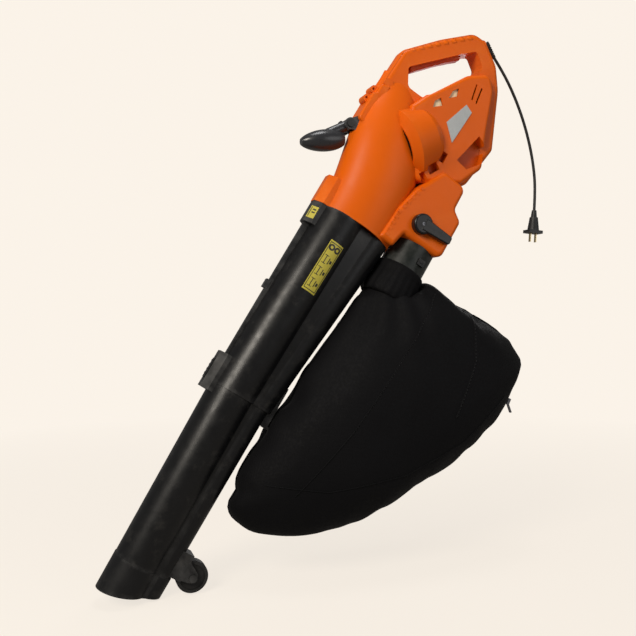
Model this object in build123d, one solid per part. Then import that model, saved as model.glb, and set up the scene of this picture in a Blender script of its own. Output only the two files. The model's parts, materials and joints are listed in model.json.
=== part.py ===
from build123d import *
import math
import os

# Leaf blower and garden vacuum with its collection bag, standing in its vacuum position.
# Millimetres. X runs from the nozzle (minus) to the cord (plus), Y is the tool's width,
# Z is up. The housing is split on the plane Y = 0, and the origin is the middle of the grip.

os.makedirs("parts", exist_ok=True)

# ---------------------------------------------------------------- driving dimensions
WALL = 3.0                    # moulded wall of the housing
TUBE_WALL = 2.5               # moulded wall of the two tubes
GAP = 0.3                     # clearance between pieces that must not touch

TUBE_TILT = 58.5              # slope of the tube's axis above the horizontal, degrees
MOTOR_TILT = 23.0             # slope of the motor's axis above the horizontal, degrees

# Places along the tube's axis, measured from the grip
S_MOUTH = -1110.0             # front lip of the nozzle
S_LIP = -1048.0               # end sleeve meets the lower tube
S_SEAM = -735.0               # lower tube enters the upper tube
S_FLANGE = -372.0             # upper tube meets the housing
NECK_LENGTH = 34.0            # part of the lower tube inside the upper tube
MOUTH_SLOPE = 0.27            # the mouth is cut back towards the small channel

# The tube has two channels: a large one for suction and a small one for blowing.
# Each is (offset of its centre from the axis, radius) at one end of a tube.
SUCTION_MOUTH = (5.0, 38.0)
BLOW_MOUTH = (47.0, 20.5)
SUCTION_LOW = (-2.0, 42.0)
BLOW_LOW = (46.0, 24.5)
SUCTION_SEAM = (-0.5, 43.8)
BLOW_SEAM = (48.5, 26.8)
SUCTION_TOP = (10.0, 46.0)
BLOW_TOP = (78.0, 33.0)

HANDLE_HALF = 19.0            # half width of the grip
HANDLE_ROUND = 11.0
BODY_HALF = 40.0              # half width of the housing behind the motor
BODY_ROUND = 9.0
OUTLET_HALF = 47.0            # half width of the housing round the bag outlet

MOTOR_FRONT = (-64.0, -181.0)     # middle of the motor bell's widest ring, X and Z
BELL_FRONT_R = 72.0
BELL_REAR_R = 58.0
BELL_LENGTH = 55.0

COLLAR_OFFSET = 157.0         # bag collar's axis, away from the tube's axis
COLLAR_R = 42.0
COLLAR_TOP = -318.0
COLLAR_END = -400.0

KNOB_CENTRE = (-49.0, -330.0)     # selector pivot, X and Z
KNOB_R = 19.0
LEVER_LENGTH = 62.0
LEVER_TURN = -29.0            # direction of the lever's arm, degrees above X

WHEEL_CENTRE = (97.5, -1030.0)    # away from and along the tube's axis
WHEEL_R = 27.0
WHEEL_WIDTH = 22.0
AXLE_R = 4.0

CORD_D = 5.5
CORD_ROUTE = [
    (136.0, 10.0),
    (156.0, -15.0),
    (180.0, -54.0),
    (200.0, -96.0),
    (216.0, -141.0),
    (227.5, -189.0),
    (233.0, -238.0),
    (230.0, -284.0),
]

COS = math.cos(math.radians(TUBE_TILT))
SIN = math.sin(math.radians(TUBE_TILT))


# ---------------------------------------------------------------- small helpers
def save(node, shape):
    export_step(shape, "parts/" + node + ".step")


def across(s, n=0.0):
    """Plane square to the tube's axis, at s along it and n below it."""
    origin = (COS * s + SIN * n, 0, SIN * s - COS * n)
    return Plane(origin=origin, x_dir=(SIN, 0, -COS), z_dir=(COS, 0, SIN))


def tube_point(n, s, y=0.0):
    return (COS * s + SIN * n, y, SIN * s - COS * n)


def tube_box(n0, n1, s0, s1, half, y=0.0):
    """Box in the tube's own directions."""
    plane = across(s0, (n0 + n1) / 2)
    sketch = plane * Pos(0, y) * Rectangle(n1 - n0, 2 * half)
    return extrude(sketch, s1 - s0)


def channel(low, high, s0, s1, grow=0.0):
    """Tapered round channel from s0 to s1; each end is (offset, radius)."""
    bottom = across(s0, low[0]) * Circle(low[1] + grow)
    top = across(s1, high[0]) * Circle(high[1] + grow)
    return loft([bottom.face(), top.face()])


def web(low_a, low_b, high_a, high_b, s0, s1, grow=0.0):
    """Filling between the two channels, so that the valley between them is shallow."""
    def section(a, b, s):
        high, low = 0.80 * a[1] + grow, 0.93 * b[1] + grow
        points = [(a[0], high), (b[0], low), (b[0], -low), (a[0], -high)]
        return (across(s) * make_face(Polyline(*points, close=True))).face()
    return loft([section(low_a, low_b, s0), section(high_a, high_b, s1)])


def two_channels(low_a, low_b, high_a, high_b, s0, s1, grow=0.0):
    body = channel(low_a, high_a, s0, s1, grow) + channel(low_b, high_b, s0, s1, grow)
    return body + web(low_a, low_b, high_a, high_b, s0, s1, grow)


def bored(body, low_a, low_b, high_a, high_b, s0, s1):
    """The same tube with both channels open, and a wall left between them."""
    large = channel(low_a, high_a, s0, s1, -TUBE_WALL)
    wall = channel(low_a, high_a, s0, s1, 0.0)
    small = channel(low_b, high_b, s0, s1, -TUBE_WALL) - wall
    return body - large - small


def outline(points, radii, half, rounding=0.0, y=0.0):
    """Plate along Y with a rounded outline in X and Z, and rounded rims."""
    path = FilletPolyline(*points, radius=radii, close=True)
    face = Plane.XZ * make_face(path)
    plate = Pos(0, y + half, 0) * extrude(face, 2 * half)
    if rounding:
        rims = plate.edges().filter_by(lambda e: abs(abs(e.center().Y - y) - half) < 0.01)
        plate = fillet(rims, rounding)
    return plate


def turned(radius, y0, y1, x, z):
    """Round bar along Y."""
    return Pos(x, (y0 + y1) / 2, z) * Rot(90, 0, 0) * Cylinder(radius, abs(y1 - y0))


MOTOR_X = math.cos(math.radians(MOTOR_TILT))
MOTOR_Z = math.sin(math.radians(MOTOR_TILT))


def on_motor(t):
    """Plane square to the motor's axis, at t behind the bell's widest ring."""
    origin = (MOTOR_FRONT[0] + MOTOR_X * t, 0, MOTOR_FRONT[1] + MOTOR_Z * t)
    return Plane(origin=origin, x_dir=(0, 1, 0), z_dir=(MOTOR_X, 0, MOTOR_Z))


def motor_disc(radius, t0, t1, bore=0.0):
    disc = extrude(on_motor(t0) * Circle(radius), t1 - t0)
    if bore:
        disc -= extrude(on_motor(t0 - 1) * Circle(bore), t1 - t0 + 2)
    return disc


def taper(plane, r0, r1, length):
    """Round bar from the plane along its normal, from radius r0 to r1."""
    if r0 == r1:
        return Solid.make_cylinder(r0, length, plane=plane)
    return Solid.make_cone(r0, r1, length, plane=plane)


def motor_cone(r0, r1, t0, t1):
    return taper(on_motor(t0), r0, r1, t1 - t0)


def hollow(points, radii, half, opening=None):
    """Space inside a plate whose walls are WALL thick, round an opening if there is one."""
    face = offset(make_face(FilletPolyline(*points, radius=radii, close=True)), -WALL)
    if opening:
        hole = make_face(FilletPolyline(*opening[0], radius=opening[1], close=True))
        face -= offset(hole, WALL)
    inside = half - WALL
    return Pos(0, inside, 0) * extrude(Plane.XZ * face, 2 * inside)


def from_tube(points):
    """X and Z of points given as (offset, place along the tube's axis)."""
    return [(COS * s + SIN * n, SIN * s - COS * n) for n, s in points]


# ---------------------------------------------------------------- housing outlines
LOOP = [(-150, -218), (-136, -108), (-68, -5), (12, 25), (84, 45), (110, 32), (133, -12),
        (138, -60), (124, -176), (60, -252), (-60, -200)]
LOOP_RADII = [24, 50, 22, 200, 26, 22, 40, 60, 16, 20, 30]

GRIP_OPENING = [(-59, -37), (54, 0), (86, 9), (101, -24), (50, -49), (-28, -92), (-60, -74)]
OPENING_RADII = [8, 4, 7, 12, 60, 14, 12]

REAR = [(-62, -112), (-30, -90), (52, -46), (104, -38), (112, -70), (96, -150), (86, -218),
        (40, -250), (-50, -250), (-80, -180)]
REAR_RADII = [6, 12, 60, 14, 40, 60, 16, 12, 14, 20]

OUTLET = from_tube([(73, -369), (106, -369), (113, -338), (199, -338), (199, -256), (177, -242),
                    (176, -196), (122, -194), (92, -252), (78, -305)])
OUTLET_RADII = [4, 6, 4, 14, 12, 10, 14, 14, 40, 60]

# Barrel round the fan: place along the tube's axis, offset, half height, half width
BARREL = [
    (S_FLANGE, 38.0, 75.0, 48.0),
    (-300.0, 33.0, 76.0, 52.0),
    (-225.0, 19.0, 77.0, 52.0),
    (-165.0, 3.0, 67.0, 42.0),
    (-120.0, -12.0, 50.0, 27.0),
    (-88.0, -24.0, 38.0, 16.0),
]

SCREWS = [
    ((-84.0, -52.0), HANDLE_HALF),
    ((101.0, 26.0), HANDLE_HALF),
    ((118.0, -132.0), HANDLE_HALF),
    ((60.0, -228.0), HANDLE_HALF),
    ((78.0, -66.0), BODY_HALF),
    (from_tube([(186.0, -300.0)])[0], OUTLET_HALF),
    (from_tube([(104.0, -318.0)])[0], OUTLET_HALF),
    (from_tube([(164.0, -206.0)])[0], OUTLET_HALF),
]
SCREW_HEAD_R = 4.0
SCREW_SHANK_R = 2.0
SCREW_SINK = 5.0
BOSS_R = 6.5
SHAFT_R = 5.0                 # selector shaft

TRIGGER_PIVOT = (-44.0, -29.0)
TRIGGER_HALF = 9.5
SLOT_HALF = 10.2
AUX_PIVOT = (-172.0, -150.0)
# Raised pad under the front handle's bracket; it steps back beside the upper strap eye
PAD = [(-64, -202), (-64, -148), (-58, -142), (-58, -124), (-40, -116), (-40, -210)]
PAD_RADII = [7, 3, 3, 4, 4, 4]
PAD_HALF = 24.0
REST_BOSS = (-100.0, -72.0)
STRAP_EYES = [(-138.0, -100.0), (-124.0, -83.0)]      # X and Z


def barrel(grow, mouth_past=0.0):
    """Barrel round the fan; mouth_past makes its mouth reach past the joint with the tube."""
    sections = []
    for s, n, height, width in BARREL:
        if s == S_FLANGE:
            s -= mouth_past
        sections.append((across(s, n) * Ellipse(height + grow, width + grow)).face())
    return loft(sections)


def motor_bell(grow):
    body = motor_cone(57 + grow, BELL_FRONT_R + grow, -12, 0)
    body += motor_cone(BELL_FRONT_R + grow, BELL_REAR_R + 3 + grow, 0, BELL_LENGTH - 8)
    body += motor_cone(BELL_REAR_R + 3 + grow, BELL_REAR_R - 6 + grow, BELL_LENGTH - 8,
                       BELL_LENGTH + 4 + grow)
    return body


def latch_ridge(n0, n1, s0, s1, half, cut):
    """Bar along the front of the tube, with both outer edges cut off at 45 degrees."""
    corners = [(n1, -half), (n1, half), (n0 + cut, half), (n0, half - cut), (n0, cut - half),
               (n0 + cut, -half)]
    sketch = across(s0) * make_face(Polyline(*corners, close=True))
    return extrude(sketch, s1 - s0)


def window(points, y0, y1):
    """Hole along Y with the outline given in X and Z."""
    face = Plane.XZ * make_face(Polyline(*points, close=True))
    return Pos(0, y1, 0) * extrude(face, y1 - y0)


def slot_points(start, end, width):
    dx, dz = end[0] - start[0], end[1] - start[1]
    length = math.hypot(dx, dz)
    ox, oz = -dz / length * width / 2, dx / length * width / 2
    return [(start[0] + ox, start[1] + oz), (end[0] + ox, end[1] + oz),
            (end[0] - ox, end[1] - oz), (start[0] - ox, start[1] - oz)]


WINDOWS = [
    [(-20, -113), (-16, -101), (-3, -94), (1, -108)],
    [(13, -93), (22, -79), (35, -73), (32, -88)],
]
LOUVRES = [((62, -92), (73, -62)), ((71, -98), (84, -68))]
POCKETS = [((-44, -234), (-34, -252)), ((-30, -230), (-10, -219)), ((-4, -212), (6, -194))]
POCKET_WIDTHS = [11, 16, 12]
RECESS = [(30, -206), (78, -158), (93, -176), (86, -208), (50, -222)]
PLATE = [(8, -138), (50, -102), (61, -116), (19, -175)]


def housing_outside():
    body = outline(LOOP, LOOP_RADII, HANDLE_HALF, HANDLE_ROUND)
    body += barrel(0)
    body += motor_bell(0)
    body += outline(REAR, REAR_RADII, BODY_HALF, BODY_ROUND)
    body += outline(OUTLET, OUTLET_RADII, OUTLET_HALF, BODY_ROUND)
    body += latch_ridge(-53, -20, S_FLANGE, -318, 24, 14)
    body += outline(from_tube(PAD), PAD_RADII, PAD_HALF, 4)
    body += turned(8.5, -21, 21, *REST_BOSS)
    for x, z in STRAP_EYES:
        body += turned(7.5, -11, 11, x, z)
    return body


def housing_inside():
    space = hollow(LOOP, LOOP_RADII, HANDLE_HALF, (GRIP_OPENING, OPENING_RADII))
    space += barrel(-WALL, 2)
    space += motor_bell(-WALL)
    space += hollow(REAR, REAR_RADII, BODY_HALF)
    space += hollow(OUTLET, OUTLET_RADII, OUTLET_HALF)
    return space


def seam_ticks():
    """Row of small ribs along the seam between the barrel and the bag outlet."""
    ticks = []
    for step in range(10):
        s = -360 + step * 12
        n = 80 + max(0, step - 4) * 3.4
        ticks.append(tube_box(n, n + 7, s, s + 5, 3, 3 - OUTLET_HALF - 0.8))
    return ticks


def pockets(grow):
    """Blind recesses in the near side; the floor of each lies at its own depth."""
    shapes = [(RECESS, 18.0)]
    for (start, end), width in zip(POCKETS, POCKET_WIDTHS):
        shapes.append((slot_points(start, end, width), 26.0))
    solids = []
    for points, floor in shapes:
        face = Plane.XZ * make_face(Polyline(*points, close=True))
        if grow:
            face = offset(face, grow)
        top = OUTLET_HALF + 15
        solids.append(Pos(0, grow - floor, 0) * extrude(face, top - floor + grow))
    return solids


def trigger_slot():
    return window([(-60, -52), (-60, -10), (60, 28), (60, -16)], -SLOT_HALF, SLOT_HALF)


def half_space(side):
    """Everything on one side of the plane Y = 0; side is -1 for the near half."""
    size = 1000
    return Pos(-100, side * size / 2, -200) * Box(size, size, size)


def build_housing():
    outside = housing_outside() - outline(GRIP_OPENING, OPENING_RADII, 80)
    inside = housing_inside()
    for solid in pockets(0):
        outside -= solid
    for solid in pockets(WALL - 0.6):
        inside -= solid
    shell = outside - inside
    for (x, z), half in SCREWS:
        shell += turned(BOSS_R, 1 - half, half - 1, x, z)
    for tick in seam_ticks():
        shell += tick
    shell -= extrude(across(-412, COLLAR_OFFSET) * Circle(COLLAR_R + GAP), 98)
    shell -= trigger_slot()
    shell -= turned(SHAFT_R + 0.05, -60, 60, *KNOB_CENTRE)
    for x, z in STRAP_EYES:
        shell -= turned(2.4, -20, 20, x - 1.5, z + 1.0)
    shell -= aux_arm()
    for points in WINDOWS:
        shell -= window(points, -BODY_HALF - 2, WALL + 1 - BODY_HALF)
    for start, end in LOUVRES:
        shell -= window(slot_points(start, end, 3.5), -BODY_HALF - 2, WALL + 1 - BODY_HALF)
    shell -= relief_hole()
    near = shell & half_space(-1)
    far = shell & half_space(1)
    for (x, z), half in SCREWS:
        far -= turned(SCREW_HEAD_R + 0.1, half - SCREW_SINK, half + 2, x, z)
        far -= turned(SCREW_SHANK_R + 0.1, -1, half, x, z)
        near -= turned(SCREW_SHANK_R + 0.05, -11, 1, x, z)
    save("housing_near", biggest(near))
    save("housing_far", biggest(far))
    return near, far


def biggest(shape):
    return max(shape.solids(), key=lambda solid: solid.volume)


def build_screws():
    screws = []
    for (x, z), half in SCREWS:
        head = turned(SCREW_HEAD_R, half - SCREW_SINK, half - SCREW_SINK + 2.4, x, z)
        head -= turned(1.6, half - SCREW_SINK + 1.2, half + 2, x, z)
        screws.append(head + turned(SCREW_SHANK_R, -9, half - SCREW_SINK, x, z))
    save("housing_screws", Compound(children=screws))


# ---------------------------------------------------------------- tubes
def build_tubes():
    top = (SUCTION_SEAM, BLOW_SEAM, SUCTION_TOP, BLOW_TOP)
    upper = two_channels(*top, S_SEAM, S_FLANGE)
    upper = bored(upper, *top, S_SEAM, S_FLANGE)
    save("upper_tube", upper)

    low = (SUCTION_MOUTH, BLOW_MOUTH, SUCTION_LOW, BLOW_LOW)
    lip_a, lip_b = at(low, S_LIP)
    outer = two_channels(lip_a, lip_b, *low[2:], S_LIP, S_SEAM - 0.2)
    lower = bored(outer, lip_a, lip_b, *low[2:], S_LIP, S_SEAM - 0.2)
    part = NECK_LENGTH / (S_FLANGE - S_SEAM)
    neck_top = blend_ends(SUCTION_SEAM, SUCTION_TOP, part)
    neck = channel(SUCTION_SEAM, neck_top, S_SEAM - 0.2, S_SEAM + NECK_LENGTH, -TUBE_WALL - 0.3)
    neck -= channel(SUCTION_SEAM, neck_top, S_SEAM - 0.2, S_SEAM + NECK_LENGTH,
                    -2 * TUBE_WALL - 0.3)
    lower += neck
    save("lower_tube", biggest(lower))

    grown = 0.9
    sleeve = two_channels(SUCTION_MOUTH, BLOW_MOUTH, lip_a, lip_b, S_MOUTH - 2, S_LIP, grown)
    sleeve = bored(sleeve, SUCTION_MOUTH, BLOW_MOUTH, lip_a, lip_b, S_MOUTH - 2, S_LIP)
    below = Pos(*tube_point(-35, S_MOUTH)) * Rot(0, 90 - TUBE_TILT, 0)
    below *= Rot(0, -math.degrees(math.atan(MOUTH_SLOPE)), 0)
    sleeve -= below * Pos(0, 0, -100) * Box(400, 300, 200)
    save("nozzle_sleeve", biggest(sleeve))
    return upper, lower, sleeve


def blend_ends(low, high, part):
    return tuple(a + (b - a) * part for a, b in zip(low, high))


def at(tube, s):
    """Offset and radius of both channels of the lower tube, at s."""
    part = (s - S_MOUTH) / (S_SEAM - S_MOUTH)
    return blend_ends(tube[0], tube[2], part), blend_ends(tube[1], tube[3], part)


def tube_skin(grow):
    """Outside of both tubes, grown a little, to cut the pieces that sit on them."""
    upper = two_channels(SUCTION_SEAM, BLOW_SEAM, SUCTION_TOP, BLOW_TOP, S_SEAM - 0.2,
                         S_FLANGE, grow)
    lower = two_channels(SUCTION_MOUTH, BLOW_MOUTH, SUCTION_LOW, BLOW_LOW, S_MOUTH,
                         S_SEAM, grow)
    return upper + lower


def build_tube_fittings(skin):
    hook = latch_ridge(-52, -20, -414, S_FLANGE - 0.1, 22, 13) - skin
    save("tube_catch", biggest(hook))

    rail = tube_box(-47, -20, -683.5, -414.2, 5) - skin
    rail += tube_box(-52, -44, -552, -536, 6) - skin
    save("guide_rail", biggest(rail))

    block = latch_ridge(-58, -20, -752, -684, 22, 12) - skin
    block -= tube_box(-62, -50.4, -736.3, -699.7, 7.3)
    save("latch_block", biggest(block))
    button = tube_box(-59.5, -53.2, -736, -700, 7)
    for rib in range(4):
        s = -730 + rib * 8
        button += tube_box(-60.3, -59.4, s, s + 3, 6)
    save("tube_button", button)

    hanger = tube_box(60, 82, -758, -681, 7) - skin
    hanger += tube_box(74, 96, -760, -755, 7)
    hanger += tube_box(92, 96, -760, -748, 7)
    save("bag_hook", biggest(hanger))


def build_wheel(skin):
    n, s = WHEEL_CENTRE
    x, _, z = tube_point(n, s)
    base = tube_box(55, 81, s - 14, s + 32, 17.5)
    cheek_path = [(64, s - 14), (64, s + 30), (n + 5, s + 9), (n + 8, s - 6), (n - 4, s - 10)]
    cheeks = outline(from_tube(cheek_path), [3, 3, 8, 8, 6], 17.5)
    bracket = (base + cheeks) - turned(WHEEL_R + 2.5, -12.2, 12.2, x, z)
    bracket -= tube_box(81, 140, s - 60, s + 60, 12.2)
    bracket -= skin
    bracket -= turned(AXLE_R + 0.02, -30, 30, x, z)
    save("wheel_bracket", biggest(bracket))

    wheel = turned(WHEEL_R, -WHEEL_WIDTH / 2, WHEEL_WIDTH / 2, x, z)
    rims = wheel.edges().filter_by(GeomType.CIRCLE)
    wheel = fillet(rims, 3)
    for side in (-1, 1):
        outer = side * WHEEL_WIDTH / 2
        dish_y = side * (WHEEL_WIDTH / 2 - 2.0)
        wheel -= (turned(WHEEL_R - 6, min(outer, dish_y), max(outer, dish_y), x, z)
                  - turned(9, min(outer, dish_y), max(outer, dish_y), x, z))
    wheel -= turned(AXLE_R + 0.05, -30, 30, x, z)
    save("wheel", wheel)

    axle = turned(AXLE_R, -18.5, 19.5, x, z) + turned(6.5, -20.5, -18, x, z)
    axle += turned(6.5, 18, 20.5, x, z)
    save("wheel_axle", axle)


# ---------------------------------------------------------------- bag
BAG_E = (0.362, -0.932)           # down through the bag, square to its longest width
BAG_NECK = (-66.0, -405.0)
# Down from the neck, left edge, right edge, half thickness
BAG_STATIONS = [
    (50.0, -145.0, 42.0, 58.0),
    (100.0, -246.0, 82.0, 74.0),
    (165.0, -340.0, 132.0, 88.0),
    (213.0, -402.0, 163.0, 94.0),
    (266.0, -446.0, 178.0, 95.0),
    (300.0, -447.0, 146.0, 91.0),
    (328.0, -436.0, 116.0, 82.0),
    (350.0, -416.0, 76.0, 70.0),
    (368.0, -382.0, 28.0, 56.0),
    (382.0, -345.0, -30.0, 42.0),
    (392.0, -305.0, -112.0, 28.0),
    (401.0, -235.0, -165.0, 8.0),
]


def bag_plane(depth, across_bag):
    ex, ez = BAG_E
    wx, wz = -ez, ex
    origin = (BAG_NECK[0] + ex * depth + wx * across_bag, 0,
              BAG_NECK[1] + ez * depth + wz * across_bag)
    return Plane(origin=origin, x_dir=(wx, 0, wz), z_dir=(ex, 0, ez))


def build_bag():
    ring = extrude(across(-418, COLLAR_OFFSET) * Circle(COLLAR_R + 4), 32)
    ring -= extrude(across(-420, COLLAR_OFFSET) * Circle(COLLAR_R + 0.4), 40)
    save("bag_ring", ring)

    start = across(-421.5, COLLAR_OFFSET)
    start = Plane(origin=start.origin, x_dir=start.x_dir, z_dir=-start.z_dir)
    sections = [(start * Circle(COLLAR_R + 3)).face()]
    for depth, left, right, half in BAG_STATIONS:
        plane = bag_plane(depth, (left + right) / 2)
        sections.append((plane * Ellipse((right - left) / 2, half)).face())
    bag = loft(sections, ruled=True)
    bag -= tube_box(60, 99, -764, -677, 9)
    save("bag", bag)

    slider = bag_plane(324.6, 125.2) * Rot(0, -47, 0) * Box(5, 9, 12)
    slider += bag_plane(337, 122.8) * Box(2.4, 6, 21)
    save("zip_slider", slider)


def build_collar():
    length = COLLAR_TOP - COLLAR_END
    collar = extrude(across(COLLAR_END, COLLAR_OFFSET) * Circle(COLLAR_R), length)
    collar -= extrude(across(COLLAR_END - 1, COLLAR_OFFSET) * Circle(COLLAR_R - 3), length + 2)
    s = -364.0
    n = COLLAR_OFFSET + 12
    collar -= tube_box(n - 7.3, n + 7.3, s - 6.3, s + 6.3, 12, -42)
    save("bag_collar", collar)
    button = tube_box(n - 7, n + 7, s - 6, s + 6, 5, -39.5)
    button += tube_box(n - 5, n + 5, s - 1, s + 1, 0.5, -44.9)
    save("bag_button", button)


# ---------------------------------------------------------------- selector
def build_selector():
    x, z = KNOB_CENTRE
    shaft = turned(SHAFT_R, -OUTLET_HALF - 1, OUTLET_HALF + 1, x, z)
    save("selector_shaft", shaft)

    flap_half = OUTLET_HALF - WALL - 4
    sketch = across(-308) * Pos(131.7, 0) * Rectangle(3, 2 * flap_half)
    flap = extrude(sketch, 44)
    sleeve = turned(SHAFT_R + 3.5, -flap_half, flap_half, x, z)
    hinge = Pos(x, 0, z) * Rot(0, -20, 0) * Pos(-x, 0, -z)
    flap = hinge * (flap + sleeve - turned(SHAFT_R, -60, 60, x, z))
    save("selector_flap", flap)

    reach = math.radians(LEVER_TURN)
    tip = (x + LEVER_LENGTH * math.cos(reach), z + LEVER_LENGTH * math.sin(reach))
    face_y = -OUTLET_HALF - 1
    knob = turned(KNOB_R, face_y - 13, face_y, x, z)
    knob = fillet(knob.edges().filter_by(lambda e: abs(e.center().Y - face_y + 13) < 0.1), 4)
    side_x, side_z = -math.sin(reach), math.cos(reach)
    corners = []
    for along, width in ((0, 12), (1, 8)):
        px = x + (tip[0] - x) * along
        pz = z + (tip[1] - z) * along
        corners.append(((px + side_x * width, pz + side_z * width),
                        (px - side_x * width, pz - side_z * width)))
    points = [corners[0][0], corners[1][0], corners[1][1], corners[0][1]]
    arm = outline(points, [1, 5, 5, 1], 6, 2.5, face_y - 8)
    lever = knob + arm
    lever -= turned(3.4, face_y - 14, face_y - 9.5, x, z)
    save("selector_lever", lever)
    screw = turned(3.2, face_y - 12, face_y - 9.5, x, z)
    screw -= turned(1.3, face_y - 13, face_y - 10.5, x, z)
    save("lever_screw", screw)


# ---------------------------------------------------------------- motor and fan
def build_motor():
    save("motor_shaft", motor_disc(4.0, -60, 54))
    fan = motor_disc(44, -47, -44.5, 4.0) + motor_disc(13, -50, -34, 4.0)
    for turn in range(10):
        blade = on_motor(-59) * Rot(0, 0, turn * 36) * Pos(26, 0, 6) * Rot(0, 0, 24)
        fan += blade * Box(31, 2.2, 12.1)
    save("impeller", biggest(fan))
    nut = extrude(on_motor(-54.2) * RegularPolygon(7, 6), 4) - motor_disc(4.0, -55, -50)
    save("impeller_nut", nut)

    frame = motor_disc(45, -31, -27, 11) + motor_disc(15, -31, -20, 11)
    save("motor_front_frame", frame)
    save("front_bearing", motor_disc(11, -31, -24, 4.05))
    stator = motor_disc(38, -12, 28, 25)
    for side in (0, 180):
        flat = on_motor(8) * Rot(0, 0, side) * Pos(40, 0, 0) * Box(10, 80, 60)
        stator -= flat
    save("field_stack", stator)
    coils = [motor_disc(34, -17.5, -12, 26), motor_disc(34, 28, 32, 26)]
    save("field_coils", Compound(children=coils))
    save("armature", motor_disc(24, -10, 26, 4.0))
    save("commutator", motor_disc(11, 32, 43, 4.0))
    brushes, holders = [], []
    for side in (0, 180):
        place = on_motor(37.5) * Rot(0, 0, side)
        brushes.append(place * Pos(17.2, 0, 0) * Box(12, 6, 6))
        holder = place * Pos(21.5, 0, 0) * Box(15, 10, 10)
        holders.append(holder - place * Pos(20, 0, 0) * Box(30, 6.1, 6.1))
    save("carbon_brushes", Compound(children=brushes))
    save("brush_holders", Compound(children=holders))
    save("motor_rear_frame", motor_disc(36, 44.5, 47.5, 9) + motor_disc(13, 44.5, 54, 9))
    save("rear_bearing", motor_disc(9, 46.5, 53, 4.05))


# ---------------------------------------------------------------- trigger and cord
def build_trigger():
    x, z = TRIGGER_PIVOT
    body = outline([(-53, -44), (-26, -34), (6, -22), (39, -12), (55, -8), (54, 6), (20, -4),
                    (-44, -25), (-50, -32)], [4, 60, 80, 60, 2, 2, 60, 2, 2], TRIGGER_HALF, 2.5)
    body += turned(5.5, -TRIGGER_HALF, TRIGGER_HALF, x, z)
    body -= turned(2.05, -20, 20, x, z)
    save("trigger", body)
    save("trigger_pin", turned(2.0, -SLOT_HALF, SLOT_HALF, x, z))

    wire = Helix(pitch=2.2, height=13.2, radius=3.4)
    spring = sweep(Plane(origin=wire @ 0, z_dir=wire % 0) * Circle(0.55), path=wire)
    lift = Pos(-14, 0, -14.6) * Rot(0, -18, 0)
    save("trigger_spring", lift * spring)


def build_switch():
    block = Pos(22, 0, 14.5) * Rot(0, -17, 0) * Box(30, 14, 13)
    button = Pos(25.5, 0, 7) * Rot(0, -17, 0) * Box(6, 5, 5)
    save("switch_block", block + button)
    interlock = tube_box(-28, -16, -352, -326, 5)
    save("interlock_switch", interlock)


def relief_hole():
    """Seat of the cord's strain relief in the rear corner of the handle."""
    return cord_bar(7.1, -34, 4, 4.0)


def cord_bar(radius, start, end, tip=None):
    """Round bar along the first run of the cord; distances are from the cord's exit."""
    (x0, z0), (x1, z1) = CORD_ROUTE[:2]
    length = math.hypot(x1 - x0, z1 - z0)
    direction = ((x1 - x0) / length, 0, (z1 - z0) / length)
    origin = (x0 + direction[0] * start, 0, z0 + direction[2] * start)
    plane = Plane(origin=origin, x_dir=(0, 1, 0), z_dir=direction)
    return taper(plane, radius, tip or radius, end - start)


def cord_radii():
    radii = []
    for before, here, after in zip(CORD_ROUTE, CORD_ROUTE[1:], CORD_ROUTE[2:]):
        first = Vector(here[0] - before[0], 0, here[1] - before[1])
        second = Vector(after[0] - here[0], 0, after[1] - here[1])
        shorter = min(first.length, second.length)
        turn = math.radians(first.get_angle(second))
        radii.append(0.45 * shorter / math.tan(turn / 2))
    return radii


def build_cord():
    radii = cord_radii()
    print("cord radii", [round(radius) for radius in radii])
    points = [(x, 0, z) for x, z in CORD_ROUTE]
    path = FilletPolyline(*points, radius=radii)
    start = Plane(origin=path @ 0, z_dir=path % 0)
    cord = sweep(start * Circle(CORD_D / 2), path=path)
    expected = math.pi * CORD_D ** 2 / 4 * path.length
    print("cord length", round(path.length), "volume ratio", round(cord.volume / expected, 3))
    save("power_cord", cord)

    save("cord_relief", cord_bar(7.0, -34, 0, 4.2))

    end, before = CORD_ROUTE[-1], CORD_ROUTE[-2]
    length = math.hypot(end[0] - before[0], end[1] - before[1])
    lean = ((end[0] - before[0]) / length, 0, (end[1] - before[1]) / length)

    def along(t, radius, tip, size):
        origin = (end[0] + lean[0] * t, 0, end[1] + lean[2] * t)
        plane = Plane(origin=origin, x_dir=(0, 1, 0), z_dir=lean)
        return taper(plane, radius, tip, size)

    def block(t, size, wide, deep):
        origin = (end[0] + lean[0] * (t + size / 2), 0, end[1] + lean[2] * (t + size / 2))
        plane = Plane(origin=origin, x_dir=(0, 1, 0), z_dir=lean)
        return plane * Box(deep, wide, size)

    plug = along(0, 4.6, 6.0, 14) + along(14, 8.0, 11.5, 26)
    plug += block(40, 6, 31, 22)
    save("plug", plug)
    pins = []
    for side in (-1, 1):
        origin = (end[0] + lean[0] * 54.5, 0, end[1] + lean[2] * 54.5)
        plane = Plane(origin=origin, x_dir=(0, 1, 0), z_dir=lean)
        pins.append(plane * Pos(0, side * 6.35, 0) * Box(6.3, 1.6, 17))
    save("plug_pins", Compound(children=pins))


# ---------------------------------------------------------------- front handle
def aux_arm():
    """Foot of the front handle's bracket, let into the pad on the housing."""
    px, pz = AUX_PIVOT
    return outline([(px, pz + 9), (px + 22, pz + 17), (px + 22, pz - 17), (px, pz - 9)],
                   [1, 1, 1, 1], 15.9)


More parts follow.
